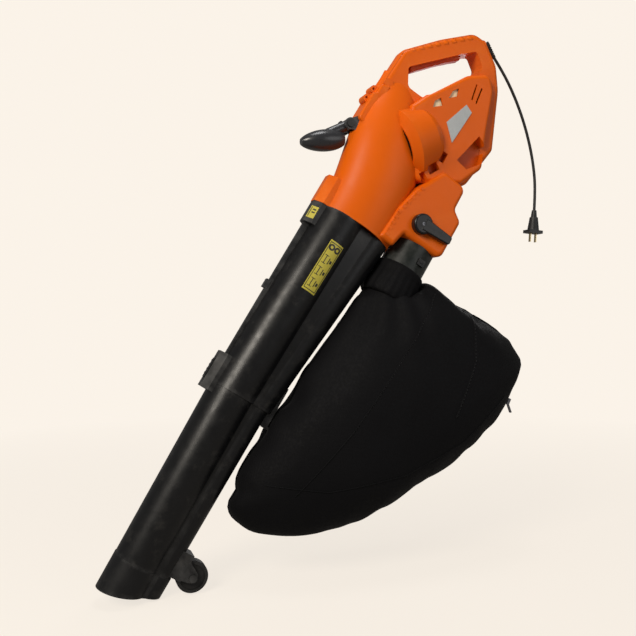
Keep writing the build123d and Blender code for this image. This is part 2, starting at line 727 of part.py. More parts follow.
def build_aux_handle():
    px, pz = AUX_PIVOT
    bracket = turned(10.5, -15.9, 15.9, px, pz) + aux_arm()
    bracket -= turned(14, -10.3, 10.3, px, pz)
    bracket -= window([(px - 20, pz - 20), (px - 20, pz + 20), (px + 9, pz + 20),
                       (px + 9, pz - 20)], -10.3, 10.3)
    bracket -= turned(3.55, -30, 30, px, pz)
    save("aux_bracket", biggest(bracket))

    lean = math.radians(8)
    stations = [(10, 12, 13), (22, 17, 17), (40, 19.5, 20), (60, 18, 20), (78, 13, 15), (90, 6, 7)]
    sections = []
    for reach, tall, wide in stations:
        origin = (px - math.cos(lean) * reach, 0, pz - 25 - math.sin(lean) * reach)
        plane = Plane(origin=origin, x_dir=(0, 1, 0),
                      z_dir=(-math.cos(lean), 0, -math.sin(lean)))
        sections.append((plane * Ellipse(wide, tall)).face())
    grip = loft(sections)
    neck_plane = Plane(origin=(px, 0, pz), x_dir=(0, 1, 0), z_dir=(-0.90, 0, -0.44))
    grip += extrude(neck_plane * Circle(9.5), 42)
    grip += turned(10.2, -10, 10, px, pz)
    grip -= turned(3.55, -30, 30, px, pz)
    save("aux_handle", biggest(grip))

    bolt = turned(3.5, -17, 22, px, pz) + turned(7.5, -20, -16.2, px, pz)
    save("aux_bolt", bolt)
    knob = turned(11, 17.6, 26, px, pz)
    for lobe in range(6):
        angle = math.radians(60 * lobe)
        knob += turned(3.5, 18.4, 26, px + 10 * math.cos(angle), pz + 10 * math.sin(angle))
    knob -= turned(3.55, 10, 22.5, px, pz)
    save("aux_knob", knob)


def build_plates():
    plate = window(PLATE, -BODY_HALF - 1.2, -BODY_HALF)
    save("blank_plate", plate)
    pads = [window(points, WALL + 1.2 - BODY_HALF, WALL + 4 - BODY_HALF) for points in WINDOWS]
    save("filter_pads", Compound(children=pads))


def main():
    build_housing()
    build_screws()
    build_tubes()
    skin = tube_skin(0.1)
    build_tube_fittings(skin)
    build_wheel(skin)
    build_collar()
    build_bag()
    build_selector()
    build_motor()
    build_trigger()
    build_switch()
    build_cord()
    build_aux_handle()
    build_plates()


main()
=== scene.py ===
import json
import math

import bmesh
import bpy
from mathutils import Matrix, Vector, noise
from mathutils.bvhtree import BVHTree


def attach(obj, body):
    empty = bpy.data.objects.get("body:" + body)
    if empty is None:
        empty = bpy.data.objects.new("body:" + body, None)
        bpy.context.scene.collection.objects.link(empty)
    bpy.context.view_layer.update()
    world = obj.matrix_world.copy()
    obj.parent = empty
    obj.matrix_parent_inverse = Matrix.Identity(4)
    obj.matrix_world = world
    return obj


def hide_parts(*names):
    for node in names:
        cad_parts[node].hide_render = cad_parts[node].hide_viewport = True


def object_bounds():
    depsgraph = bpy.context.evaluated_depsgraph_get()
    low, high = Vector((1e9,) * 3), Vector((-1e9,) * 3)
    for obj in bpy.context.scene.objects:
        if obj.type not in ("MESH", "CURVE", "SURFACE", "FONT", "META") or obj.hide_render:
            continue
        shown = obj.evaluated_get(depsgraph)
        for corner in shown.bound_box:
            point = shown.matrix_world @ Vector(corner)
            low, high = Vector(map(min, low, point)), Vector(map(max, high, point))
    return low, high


# Leaf blower with its collection bag: materials, cloth, cord, stickers and stage.
# Metres and radians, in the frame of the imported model: the origin is the middle of the rear
# grip, x runs towards the cord, y to the far side and z up.

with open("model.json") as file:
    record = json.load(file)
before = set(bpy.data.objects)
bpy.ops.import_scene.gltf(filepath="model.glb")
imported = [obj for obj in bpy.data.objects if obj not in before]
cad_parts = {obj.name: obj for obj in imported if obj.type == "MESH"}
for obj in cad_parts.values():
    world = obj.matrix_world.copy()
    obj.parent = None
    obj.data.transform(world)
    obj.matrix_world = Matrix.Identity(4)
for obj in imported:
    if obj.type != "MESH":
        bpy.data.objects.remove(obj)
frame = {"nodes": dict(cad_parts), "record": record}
nodes = frame["nodes"]
cad_low, cad_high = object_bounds()
BODY = "blower"

# ------------------------------------------------------------------ places shared with the model
TILT = math.radians(58.5)                     # slope of the tube's axis
ALONG = Vector((math.cos(TILT), 0, math.sin(TILT)))
BELOW = Vector((math.sin(TILT), 0, -math.cos(TILT)))
SEAM_S, FLANGE_S = -0.735, -0.372             # ends of the upper tube along its axis
SEAM_RING = (-0.0005, 0.0438)                 # offset and radius of the suction channel there
FLANGE_RING = (0.010, 0.046)

CORD_DIAMETER = 0.0055
CORD_POINTS = [
    (0.1360, 0.0100),
    (0.1560, -0.0150),
    (0.1800, -0.0540),
    (0.2000, -0.0960),
    (0.2160, -0.1410),
    (0.2275, -0.1890),
    (0.2330, -0.2380),
    (0.2300, -0.2840),
]


def tube_place(n, s, y=0.0):
    """Point n away from the tube's axis and s along it."""
    return ALONG * s + BELOW * n + Vector((0, y, 0))


# ------------------------------------------------------------------ small helpers
def link(obj):
    bpy.context.scene.collection.objects.link(obj)
    return obj


def mesh_object(name, points, faces, smooth=True):
    mesh = bpy.data.meshes.new(name)
    mesh.from_pydata([tuple(p) for p in points], [], faces)
    mesh.update()
    for polygon in mesh.polygons:
        polygon.use_smooth = smooth
    return link(bpy.data.objects.new(name, mesh))


def dress(obj, material):
    """Gives a piece its material and lets it ride on the housing's body."""
    obj.data.materials.clear()
    obj.data.materials.append(material)
    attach(obj, BODY)


def line_object(name, points, radius):
    """Round bead along a line of points."""
    curve = bpy.data.curves.new(name, "CURVE")
    curve.dimensions = "3D"
    curve.bevel_depth = radius
    curve.bevel_resolution = 2
    spline = curve.splines.new("POLY")
    spline.points.add(len(points) - 1)
    for place, point in zip(spline.points, points):
        place.co = (*point, 1)
    return link(bpy.data.objects.new(name, curve))


def lathe(name, profile, origin, axis, steps):
    """Turned piece: profile holds (distance along the axis, radius)."""
    side = axis.orthogonal().normalized()
    up = axis.cross(side)
    points, faces = [], []
    for t, r in profile:
        for k in range(steps):
            a = 2 * math.pi * k / steps
            points.append(origin + axis * t + (side * math.cos(a) + up * math.sin(a)) * r)
    for i in range(len(profile) - 1):
        for k in range(steps):
            j = (k + 1) % steps
            a, b = i * steps, (i + 1) * steps
            faces.append((a + k, a + j, b + j, b + k))
    faces.append(tuple(range(steps))[::-1])
    last = (len(profile) - 1) * steps
    faces.append(tuple(range(last, last + steps)))
    return mesh_object(name, points, faces)


# ------------------------------------------------------------------ camera
SENSOR_WIDTH = 36.0                           # both in millimetres
FOCAL_LENGTH = 41.32
CAMERA_PLACE = (-0.6737, -1.2216, -0.4985)
CAMERA_TURN = (math.radians(90), 0, math.radians(-20))
NEAREST, FARTHEST = 0.01, 100.0               # what the camera can see

camera_data = bpy.data.cameras.new("camera")
camera_data.sensor_width = SENSOR_WIDTH
camera_data.lens = FOCAL_LENGTH
camera_data.clip_start = NEAREST
camera_data.clip_end = FARTHEST
camera = link(bpy.data.objects.new("camera", camera_data))
camera.location = CAMERA_PLACE
camera.rotation_euler = CAMERA_TURN
bpy.context.scene.camera = camera
bpy.context.scene.view_settings.view_transform = "Standard"

# ------------------------------------------------------------------ material building blocks
WAVE_STEP = 0.314                             # distance between bands of a wave texture of scale 1
COAT_ROUGH = 0.2


class Nodes:
    """Short way of writing a node tree."""

    def __init__(self, name):
        self.material = bpy.data.materials.new(name)
        self.material.use_nodes = True
        self.tree = self.material.node_tree
        self.shader = self.tree.nodes["Principled BSDF"]
        self.coords = self.tree.nodes.new("ShaderNodeTexCoord").outputs["Object"]

    def add(self, kind, values=None, **settings):
        node = self.tree.nodes.new(kind)
        for key, value in settings.items():
            setattr(node, key, value)
        for key, value in (values or {}).items():
            if isinstance(value, bpy.types.NodeSocket):
                self.tree.links.new(value, node.inputs[key])
            else:
                node.inputs[key].default_value = value
        return node

    def noise(self, scale, detail=3.0, rough=0.5, vector=None):
        values = {"Vector": vector or self.coords, "Scale": scale, "Detail": detail,
                  "Roughness": rough}
        node = self.add("ShaderNodeTexNoise", values)
        return node.outputs["Fac"]

    def waves(self, period, direction, distortion=0.0, vector=None):
        values = {"Vector": vector or self.coords, "Scale": WAVE_STEP / period,
                  "Distortion": distortion, "Detail": 1.0}
        node = self.add("ShaderNodeTexWave", values, wave_type="BANDS", bands_direction=direction)
        return node.outputs["Fac"]

    def math(self, operation, a, b):
        return self.add("ShaderNodeMath", {0: a, 1: b}, operation=operation).outputs[0]

    def range(self, value, low, high, to_low=0.0, to_high=1.0):
        node = self.add("ShaderNodeMapRange", {"Value": value, "From Min": low, "From Max": high,
                                                "To Min": to_low, "To Max": to_high})
        return node.outputs["Result"]

    def mix(self, factor, a, b):
        node = self.add("ShaderNodeMix", data_type="RGBA")
        for key, value in ((0, factor), (6, a), (7, b)):
            if isinstance(value, bpy.types.NodeSocket):
                self.tree.links.new(value, node.inputs[key])
            elif key == 0:
                node.inputs[0].default_value = value
            else:
                node.inputs[key].default_value = (*value, 1.0)
        return node.outputs[2]

    def bump(self, height, distance, strength=1.0, before=None):
        values = {"Height": height, "Distance": distance, "Strength": strength}
        if before:
            values["Normal"] = before
        return self.add("ShaderNodeBump", values).outputs["Normal"]

    def edges(self, low=0.51, high=0.60):
        """1 on sharp outer edges, 0 on flat surfaces."""
        point = self.add("ShaderNodeNewGeometry").outputs["Pointiness"]
        return self.range(point, low, high)

    def finish(self, colour, roughness, normal, **constants):
        put = self.tree.links.new
        put(colour, self.shader.inputs["Base Color"])
        put(roughness, self.shader.inputs["Roughness"])
        put(normal, self.shader.inputs["Normal"])
        for key, value in constants.items():
            self.shader.inputs[key.replace("_", " ")].default_value = value
        return self.material


def scaled(colour, factor):
    return tuple(min(1.0, c * factor) for c in colour)


def plastic(name, colour, rough=0.38, grain=900.0, grain_depth=0.00006, mottle=0.10, wear=0.25,
            coat=0.0, specular=0.32):
    """Moulded plastic: faint flow marks, fine grain, dust in the roughness and rubbed edges."""
    t = Nodes(name)
    flow = t.noise(9.0, 4.0, 0.6)
    fine = t.noise(60.0, 3.0)
    tone = t.mix(flow, scaled(colour, 1 - mottle), scaled(colour, 1 + mottle))
    rubbed = tuple(c + (0.55 - c) * 0.25 for c in colour)
    edge = t.math("MULTIPLY", t.edges(), t.range(fine, 0.35, 0.75, 0.2, 1.0))
    tone = t.mix(t.math("MULTIPLY", edge, wear), tone, rubbed)
    dust = t.range(t.noise(32.0, 6.0, 0.7), 0.55, 0.85, 0.0, 0.05)
    tone = t.mix(dust, tone, (0.60, 0.56, 0.50))
    roughness = t.range(fine, 0.25, 0.75, rough - 0.07, rough + 0.09)
    normal = t.bump(t.noise(grain, 2.0), grain_depth, 0.6)
    normal = t.bump(t.noise(15.0, 2.0), 0.0012, 0.25, normal)
    return t.finish(tone, roughness, normal, Coat_Weight=coat, Coat_Roughness=COAT_ROUGH,
                    Specular_IOR_Level=specular)


def ribbed_plastic(name, colour, rough, period, depth, axis):
    """Moulded plastic with raised ribs at a given period across one direction, painted lighter on
    their crests and darker between them.
    """
    t = Nodes(name)
    turn = Vector((1, 0, 0)).rotation_difference(axis).inverted().to_euler()
    mapped = t.add("ShaderNodeMapping", {"Vector": t.coords, "Rotation": tuple(turn)})
    bands = t.waves(period, "X", 0.0, mapped.outputs["Vector"])
    ribs = t.range(bands, 0.45, 0.65)
    # Painted light: rib crests are lightened as a painted highlight, and the grooves between them
    # are darkened as painted shade.
    tone = t.mix(ribs, scaled(colour, 0.75), scaled(colour, 1.2))
    tone = t.mix(t.range(t.noise(40.0, 5.0), 0.5, 0.9, 0, 0.12), tone, (0.5, 0.48, 0.45))
    roughness = t.range(t.noise(80.0), 0.3, 0.7, rough - 0.05, rough + 0.1)
    normal = t.bump(ribs, depth, 1.0)
    normal = t.bump(t.noise(1100.0), 0.00005, 0.5, normal)
    return t.finish(tone, roughness, normal)


GRIP_RIB_PERIOD = 0.017
GRIP_RIB_TURN = math.radians(35)
GRIP_RIB_HEIGHT = 0.0016
GRIP_LEAN = 0.30                              # rise of the grip's top along x
GRIP_FRONT, GRIP_REAR = -0.062, 0.078         # where the ribs start and stop fading, along x
GRIP_FADE = 0.006
GRIP_OVER = (0.006, 0.010)                    # height over which the ribs appear


def orange_plastic(name, colour, rough, grip=False):
    """Glossy orange moulding with painted shade in its hollows and a painted highlight along its
    sharp edges; on the housing the grip carries raised slanting ribs, painted lighter on their
    crests.
    """
    t = Nodes(name)
    flow = t.noise(6.0, 4.0, 0.55)
    fine = t.noise(70.0, 3.0)
    tone = t.mix(flow, scaled(colour, 0.86), scaled(colour, 1.10))
    # Painted shade: concave places, found by low pointiness, are darkened to 0.45 of the colour in
    # place of the shade that falls in hollows and between parts.
    painted_hollow_shade = t.range(t.add("ShaderNodeNewGeometry").outputs["Pointiness"], 0.40, 0.49, 0.55, 0.0)
    tone = t.mix(painted_hollow_shade, tone, scaled(colour, 0.45))
    # Painted highlight: sharp outer edges, found by high pointiness, are mixed towards a pale
    # yellow-orange highlight colour.
    edge = t.math("MULTIPLY", t.edges(0.53, 0.66), t.range(fine, 0.3, 0.8, 0.05, 0.35))
    tone = t.mix(edge, tone, (0.98, 0.30, 0.05))
    tone = t.mix(t.range(t.noise(30.0, 6.0, 0.7), 0.6, 0.9, 0, 0.10), tone, (0.30, 0.12, 0.04))
    roughness = t.range(fine, 0.25, 0.75, rough - 0.06, rough + 0.08)
    normal = t.bump(t.noise(1000.0, 2.0), 0.00005, 0.5)
    normal = t.bump(t.noise(18.0, 2.0), 0.0012, 0.2, normal)
    if grip:
        place = t.add("ShaderNodeSeparateXYZ", {0: t.coords})
        x, z = place.outputs["X"], place.outputs["Z"]
        lean = t.math("SUBTRACT", z, t.math("MULTIPLY", x, GRIP_LEAN))
        over = t.range(lean, *GRIP_OVER)
        start = t.range(x, GRIP_FRONT, GRIP_FRONT + GRIP_FADE)
        end = t.range(x, GRIP_REAR, GRIP_REAR + GRIP_FADE, 1.0, 0.0)
        where = t.math("MULTIPLY", over, t.math("MULTIPLY", start, end))
        turned = t.add("ShaderNodeMapping", {"Vector": t.coords, "Rotation": (0, GRIP_RIB_TURN, 0)})
        bands = t.range(t.waves(GRIP_RIB_PERIOD, "X", 0.0, turned.outputs["Vector"]), 0.35, 0.6)
        ribs = t.math("MULTIPLY", bands, where)
        # Painted highlight: the rib crests on the top of the grip are lightened to 1.5 times the
        # colour, as if lit from above.
        tone = t.mix(t.math("MULTIPLY", ribs, 0.30), tone, scaled(colour, 1.5))
        normal = t.bump(ribs, GRIP_RIB_HEIGHT, 1.0, normal)
    return t.finish(tone, roughness, normal, Coat_Weight=0.0, Specular_IOR_Level=0.17)


def cloth(name, colour, thread, sheen, lift=0.10, fuzz=0.012):
    """Woven cloth: crossed threads with slubs, soft creases, and dust that lifts the colour."""
    t = Nodes(name)
    warp = t.waves(thread, "X", 0.6)
    weft = t.waves(thread, "Z", 0.6)
    weave = t.math("MULTIPLY", t.math("ADD", warp, weft), 0.5)
    slub = t.noise(220.0, 3.0, 0.6)
    patch = t.noise(7.0, 5.0, 0.6)
    tone = t.mix(patch, scaled(colour, 0.7), scaled(colour, 1.5))
    tone = t.mix(t.math("MULTIPLY", weave, 0.35), tone, scaled(colour, 2.2))
    tone = t.mix(t.range(slub, 0.55, 0.8, 0.0, lift), tone, tuple(c + fuzz for c in colour))
    roughness = t.range(slub, 0.3, 0.7, 0.62, 0.82)
    normal = t.bump(weave, 0.00025, 0.6)
    normal = t.bump(t.noise(24.0, 4.0, 0.6), 0.004, 0.35, normal)
    normal = t.bump(t.noise(6.5, 2.0, 0.5), 0.010, 0.35, normal)
    return t.finish(tone, roughness, normal, Sheen_Weight=sheen, Sheen_Roughness=0.45,
                    Specular_IOR_Level=0.10)


def metal(name, colour, rough, stretch=(1, 1, 40)):
    """Worn metal with drawn marks along one direction and darker pits."""
    t = Nodes(name)
    mapped = t.add("ShaderNodeMapping", {"Vector": t.coords, "Scale": stretch})
    drawn = t.noise(60.0, 4.0, 0.6, mapped.outputs["Vector"])
    pits = t.noise(180.0, 4.0, 0.7)
    tone = t.mix(drawn, scaled(colour, 0.75), scaled(colour, 1.1))
    tone = t.mix(t.range(pits, 0.6, 0.8, 0, 0.35), tone, scaled(colour, 0.35))
    roughness = t.range(drawn, 0.3, 0.7, rough - 0.08, rough + 0.12)
    normal = t.bump(drawn, 0.00008, 0.6)
    return t.finish(tone, roughness, normal, Metallic=1.0)


def foam(name, colour):
    t = Nodes(name)
    cells = t.add("ShaderNodeTexVoronoi", {"Vector": t.coords, "Scale": 620.0}).outputs["Distance"]
    tone = t.mix(cells, scaled(colour, 0.78), colour)
    tone = t.mix(t.range(t.noise(50.0, 4.0), 0.4, 0.8, 0, 0.3), tone, scaled(colour, 0.8))
    roughness = t.range(cells, 0, 1, 0.75, 0.9)
    return t.finish(tone, roughness, t.bump(cells, 0.0005, 0.8))


def printed(name, colour, rough=0.45, gloss=0.3):
    """Printed film: faint dot screen, scuffs, and a slightly uneven surface."""
    t = Nodes(name)
    dots = t.add("ShaderNodeTexVoronoi", {"Vector": t.coords, "Scale": 900.0}).outputs["Distance"]
    tone = t.mix(t.range(dots, 0.1, 0.6), scaled(colour, 0.92), scaled(colour, 1.05))
    scuff = t.range(t.noise(90.0, 6.0, 0.7), 0.55, 0.8, 0, 0.35)
    tone = t.mix(scuff, tone, scaled(colour, 0.6))
    roughness = t.range(t.noise(60.0, 3.0), 0.3, 0.7, rough - 0.1, rough + 0.15)
    normal = t.bump(t.noise(120.0, 3.0), 0.0001, 0.5)
    return t.finish(tone, roughness, normal, Coat_Weight=gloss, Coat_Roughness=COAT_ROUGH)


ORANGE = (0.74, 0.118, 0.0025)
BLACK = (0.0042, 0.0044, 0.0052)
looks = {
    "orange_plastic": orange_plastic("orange_plastic", ORANGE, 0.36, grip=True),
    # Painted shade: the trigger is a darker, redder copy of the housing orange, in place of the
    # shade on the underside of the grip.
    "trigger_plastic": orange_plastic("trigger_plastic", (0.55, 0.060, 0.008), 0.42),
    "tube_plastic": plastic("tube_plastic", BLACK, 0.36, coat=0.03),
    "sleeve_plastic": plastic("sleeve_plastic", scaled(BLACK, 1.2), 0.42),
    "black_plastic": plastic("black_plastic", scaled(BLACK, 1.1), 0.44, wear=0.35),
    "button_plastic": ribbed_plastic("button_plastic", scaled(BLACK, 1.6), 0.45, 0.003, 0.0004,
                                     ALONG),
    "wheel_plastic": plastic("wheel_plastic", (0.013, 0.013, 0.013), 0.5, 500, 0.0002, 0.2, 0.5),
    "steel": metal("steel", (0.62, 0.62, 0.64), 0.32),
    "webbing": cloth("webbing", (0.006, 0.006, 0.007), 0.003, 0.03),
    "bag_cloth": cloth("bag_cloth", (0.0030, 0.0030, 0.0036), 0.0022, 0.01),
    "dark_metal": metal("dark_metal", (0.20, 0.20, 0.22), 0.34),
    "collar_plastic": plastic("collar_plastic", (0.0055, 0.0085, 0.0072), 0.36, specular=0.25),
    "lever_plastic": plastic("lever_plastic", (0.0045, 0.0045, 0.0052), 0.30, coat=0.04, wear=0.12),
    "fan_metal": metal("fan_metal", (0.74, 0.74, 0.76), 0.35, (1, 1, 1)),
    "cast_metal": metal("cast_metal", (0.55, 0.55, 0.57), 0.5, (1, 1, 1)),
    "copper": metal("copper", (0.72, 0.30, 0.15), 0.3, (1, 40, 1)),
    "carbon": plastic("carbon", (0.02, 0.02, 0.02), 0.6),
    "brass": metal("brass", (0.78, 0.55, 0.22), 0.33, (1, 1, 1)),
    "cord_rubber": plastic("cord_rubber", (0.012, 0.012, 0.012), 0.46, 700, 0.00008, 0.15, 0.1),
    "plug_rubber": plastic("plug_rubber", (0.016, 0.016, 0.017), 0.42, 700, 0.00008, 0.15, 0.3),
    "pin_brass": metal("pin_brass", (0.74, 0.60, 0.36), 0.25),
    "bracket_plastic": plastic("bracket_plastic", (0.03, 0.031, 0.034), 0.36, coat=0.2),
    "grip_rubber": plastic("grip_rubber", (0.022, 0.023, 0.027), 0.30, coat=0.35, wear=0.3),
    "grey_plate": printed("grey_plate", (0.38, 0.40, 0.41), 0.35),
    "cream_foam": foam("cream_foam", (0.95, 0.83, 0.55)),
}
yellow_print = printed("yellow_print", (0.50, 0.43, 0.045))
dark_print = printed("dark_print", (0.02, 0.018, 0.01))
thread_look = plastic("thread_look", (0.02, 0.02, 0.022), 0.6, 1500, 0.0001, 0.2, 0.1)

for entry in frame["record"]["subparts"]:
    piece = nodes[entry["node"]]
    piece.data.materials.clear()
    piece.data.materials.append(looks[entry["material_slot"]])

# ------------------------------------------------------------------ cord and its boot
BOOT_RINGS = 6
BOOT_PITCH = 0.004                            # from one ring of the boot to the next
BOOT_TAPER = 0.00045                          # by which each ring is thinner than the last
BOOT_GROOVE = 0.0011
BOOT_STEPS = 28

cord_curve = bpy.data.curves.new("mains_cord", "CURVE")
cord_curve.dimensions = "3D"
cord_curve.bevel_depth = CORD_DIAMETER / 2
cord_curve.bevel_resolution = 6
cord_curve.resolution_u = 16
route = cord_curve.splines.new("NURBS")
route.points.add(len(CORD_POINTS) - 1)
for place, (x, z) in zip(route.points, CORD_POINTS):
    place.co = (x, 0, z, 1)
route.order_u = 3
route.use_endpoint_u = True
mains_cord = link(bpy.data.objects.new("mains_cord", cord_curve))
dress(mains_cord, looks["cord_rubber"])
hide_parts("power_cord")

first, second = (Vector((x, 0, z)) for x, z in CORD_POINTS[:2])
cord_axis = (second - first).normalized()
boot_profile = [(-0.032, 0.0062), (-0.031, 0.0069), (-0.026, 0.0069)]
for ring in range(BOOT_RINGS):
    t = -0.024 + ring * BOOT_PITCH
    r = 0.0066 - ring * BOOT_TAPER
    groove = r - BOOT_GROOVE
    boot_profile += [(t, r), (t + 0.0022, r), (t + 0.0024, groove), (t + 0.0038, groove)]
boot_profile += [(0.0, 0.0041), (0.0015, 0.0036), (0.0015, 0.0029)]
cord_boot = lathe("cord_boot", boot_profile, first, cord_axis, BOOT_STEPS)
dress(cord_boot, looks["cord_rubber"])
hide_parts("cord_relief")


# ------------------------------------------------------------------ collection bag
BAG_DOWN = Vector((0.362, 0, -0.932))         # from the neck down through the bag
BAG_WIDE = Vector((0.932, 0, 0.362))          # along the bag's longest width
BAG_NECK = Vector((-0.066, 0, -0.405))
NECK_HELD = 0.035                             # length of neck that the ring holds
WEAVE_MESH = 0.007                            # spacing of the cloth's mesh
EMPTY_BY = 0.005                              # how much smaller the bag is before it fills
FILL_PRESSURE = 4.0
FILL_STRETCH = 0.03
FILL_CAP = 0.014                              # farthest a point of the cloth may move
FILL_FRAMES = 20
CAST_FROM = 0.6                               # a distance from the bag's middle outside the bag


def smooth_copy(source, name):
    """Closed, evenly meshed copy of a soft solid, a little smaller than it."""
    mesh = source.data.copy()
    mesh.name = name
    obj = link(bpy.data.objects.new(name, mesh))
    bm = bmesh.new()
    bm.from_mesh(mesh)
    bmesh.ops.remove_doubles(bm, verts=bm.verts, dist=0.0002)
    bm.to_mesh(mesh)
    bm.free()
    bpy.context.view_layer.objects.active = obj
    remesh = obj.modifiers.new("remesh", "REMESH")
    remesh.mode = "VOXEL"
    remesh.voxel_size = WEAVE_MESH
    smoothing = obj.modifiers.new("smooth", "SMOOTH")
    smoothing.iterations = 14
    smoothing.factor = 0.5
    depsgraph = bpy.context.evaluated_depsgraph_get()
    result = bpy.data.meshes.new_from_object(obj.evaluated_get(depsgraph))
    obj.modifiers.clear()
    obj.data = result
    for vertex in result.vertices:
        vertex.co -= vertex.normal * EMPTY_BY
    result.update()
    return obj


def pin_neck(obj):
    """Group of the vertices that stay where the ring holds the neck."""
    group = obj.vertex_groups.new(name="neck")
    held = [v.index for v in obj.data.vertices if (v.co - BAG_NECK).dot(BAG_DOWN) < NECK_HELD]
    group.add(held, 1.0, "REPLACE")
    return group


def blow_up(obj, pin):
    """Fills closed cloth for a few frames and keeps each point near its start."""
    start = [vertex.co.copy() for vertex in obj.data.vertices]
    modifier = obj.modifiers.new("cloth", "CLOTH")
    settings = modifier.settings
    settings.quality = 6
    settings.mass = 0.3
    settings.tension_stiffness = 15
    settings.compression_stiffness = 10
    settings.shear_stiffness = 5
    settings.bending_stiffness = 0.4
    settings.use_pressure = True
    settings.uniform_pressure_force = FILL_PRESSURE
    settings.shrink_min = -FILL_STRETCH
    settings.vertex_group_mass = pin.name
    settings.effector_weights.gravity = 0.0
    modifier.collision_settings.use_collision = False
    modifier.point_cache.frame_start = 1
    modifier.point_cache.frame_end = FILL_FRAMES
    scene = bpy.context.scene
    for number in range(1, FILL_FRAMES + 1):
        scene.frame_set(number)
    depsgraph = bpy.context.evaluated_depsgraph_get()
    result = bpy.data.meshes.new_from_object(obj.evaluated_get(depsgraph))
    obj.modifiers.clear()
    scene.frame_set(1)
    for vertex, before in zip(result.vertices, start):
        move = vertex.co - before
        if move.length > FILL_CAP:
            vertex.co = before + move * (FILL_CAP / move.length)
    obj.data = result
    result.update()


cloth_bag = smooth_copy(nodes["bag"], "collection_bag")
neck_pin = pin_neck(cloth_bag)
blow_up(cloth_bag, neck_pin)

# How much farther the filled bag reaches than its smoothed cloth, by direction in degrees from
# BAG_DOWN towards BAG_WIDE
BAG_MIDDLE = BAG_NECK + BAG_DOWN * 0.20 + BAG_WIDE * -0.04
BAG_REACH = [
    (-180, 1.00), (-160, 1.045), (-132, 1.045), (-120, 1.025), (-108, 1.04), (-96, 1.08),
    (-84, 1.065), (-76, 1.01), (-68, 0.985), (-60, 1.01), (-48, 1.06), (-24, 1.06),
    (24, 1.05), (48, 1.025), (60, 1.015), (72, 1.03), (84, 1.07), (96, 1.15),
    (120, 1.15), (132, 1.11), (144, 1.09), (156, 1.10), (168, 1.00), (180, 1.00),
]
TUBE_GAP = 0.002                              # what the stretch leaves free beside the tube
SMOOTH_PASSES = 9
SMOOTH_FROM = 0.03                            # depth down to which the neck stays as it is
STRETCH_FROM, STRETCH_FADE = 0.01, 0.02       # depth where the stretch starts, and its fading in


def reach_at(angle):
    """Reach in the direction angle, in degrees, straight between the listed directions."""
    for (a, low), (b, high) in zip(BAG_REACH, BAG_REACH[1:]):
        if angle <= b:
            return low + (high - low) * (angle - a) / (b - a)
    return 1.0


def tree_of(mesh):
    return BVHTree.FromPolygons([v.co for v in mesh.vertices],
                                [tuple(p.vertices) for p in mesh.polygons])


def smooth_below_neck(mesh):
    bm = bmesh.new()
    bm.from_mesh(mesh)
    for _ in range(SMOOTH_PASSES):
        loose = [v for v in bm.verts if (v.co - BAG_NECK).dot(BAG_DOWN) > SMOOTH_FROM]
        bmesh.ops.smooth_vert(bm, verts=loose, factor=0.5, use_axis_x=True, use_axis_y=True,
                              use_axis_z=True)
    bm.to_mesh(mesh)
    bm.free()


def clear_of_tube(place, move, tubes):
    """The move of a point, shortened where it would leave less than TUBE_GAP to the tube."""
    toward = -move.dot(BELOW)
    for tube in tubes:
        hit = tube.ray_cast(place, -BELOW)
        if hit[0] is not None and toward > 0.0:
            free = max(0.0, hit[3] - TUBE_GAP)
            if toward > free:
                move = move * (free / toward)
                toward = free
    return move


def fill_out(mesh):
    """Smooths the filled cloth and stretches its rim to its full outline, clear of the tube."""
    smooth_below_neck(mesh)
    bag = tree_of(mesh)
    tubes = [tree_of(nodes[name].data) for name in ("upper_tube", "lower_tube")]
    for vertex in mesh.vertices:
        offset = vertex.co - BAG_MIDDLE
        down, wide = offset.dot(BAG_DOWN), offset.dot(BAG_WIDE)
        ray = (BAG_DOWN * down + BAG_WIDE * wide).normalized()
        rim = bag.ray_cast(BAG_MIDDLE + ray * CAST_FROM, -ray)
        if rim[0] is None:
            continue
        out = math.hypot(down, wide)
        part = min(1.0, out / (rim[0] - BAG_MIDDLE).length)
        depth = (vertex.co - BAG_NECK).dot(BAG_DOWN)
        hold = min(1.0, max(0.0, (depth - STRETCH_FROM) / STRETCH_FADE))
        reach = reach_at(math.degrees(math.atan2(wide, down)))
        stretch = (reach - 1.0) * part ** 2 * hold
        vertex.co += clear_of_tube(vertex.co, ray * out * stretch, tubes)
    mesh.update()


fill_out(cloth_bag.data)

FOLD_HEIGHT = 0.0028                          # folds that fan out from the neck
PULL_HEIGHT = 0.0014                          # short pulls along the lower seam
BROAD_HEIGHT = 0.0020                         # soft unevenness all over
FOLD_DEPTH, FOLD_SPREAD = 0.07, 0.10          # where along the bag the folds are strongest
PULL_DEPTH, PULL_SPREAD = 0.33, 0.06
FLAT_NECK = 0.02                              # depth over which the creases fade in


def creases(obj):
    """Long soft folds below the neck, and short pulls along the lower seam."""
    for vertex in obj.data.vertices:
        offset = vertex.co - BAG_NECK
        depth, wide = offset.dot(BAG_DOWN), offset.dot(BAG_WIDE)
        angle = math.atan2(wide, max(depth, 0.02) + 0.05)
        side = 1.0 if vertex.co.y < 0 else -1.0
        fan = math.sin(angle * 19 + side * 1.7 + 3 * noise.noise(vertex.co * 9))
        fade = math.exp(-((depth - FOLD_DEPTH) / FOLD_SPREAD) ** 2)
        pull = noise.noise(Vector((wide * 26, side * 3, depth * 9)))
        low = math.exp(-((depth - PULL_DEPTH) / PULL_SPREAD) ** 2)
        broad = noise.noise(vertex.co * 11 + Vector((4, side, 2)))
        height = FOLD_HEIGHT * fan * fade + PULL_HEIGHT * pull * low + BROAD_HEIGHT * broad
        if depth < FLAT_NECK:
            height *= max(0.0, depth / FLAT_NECK)
        vertex.co += vertex.normal * height
    obj.data.update()


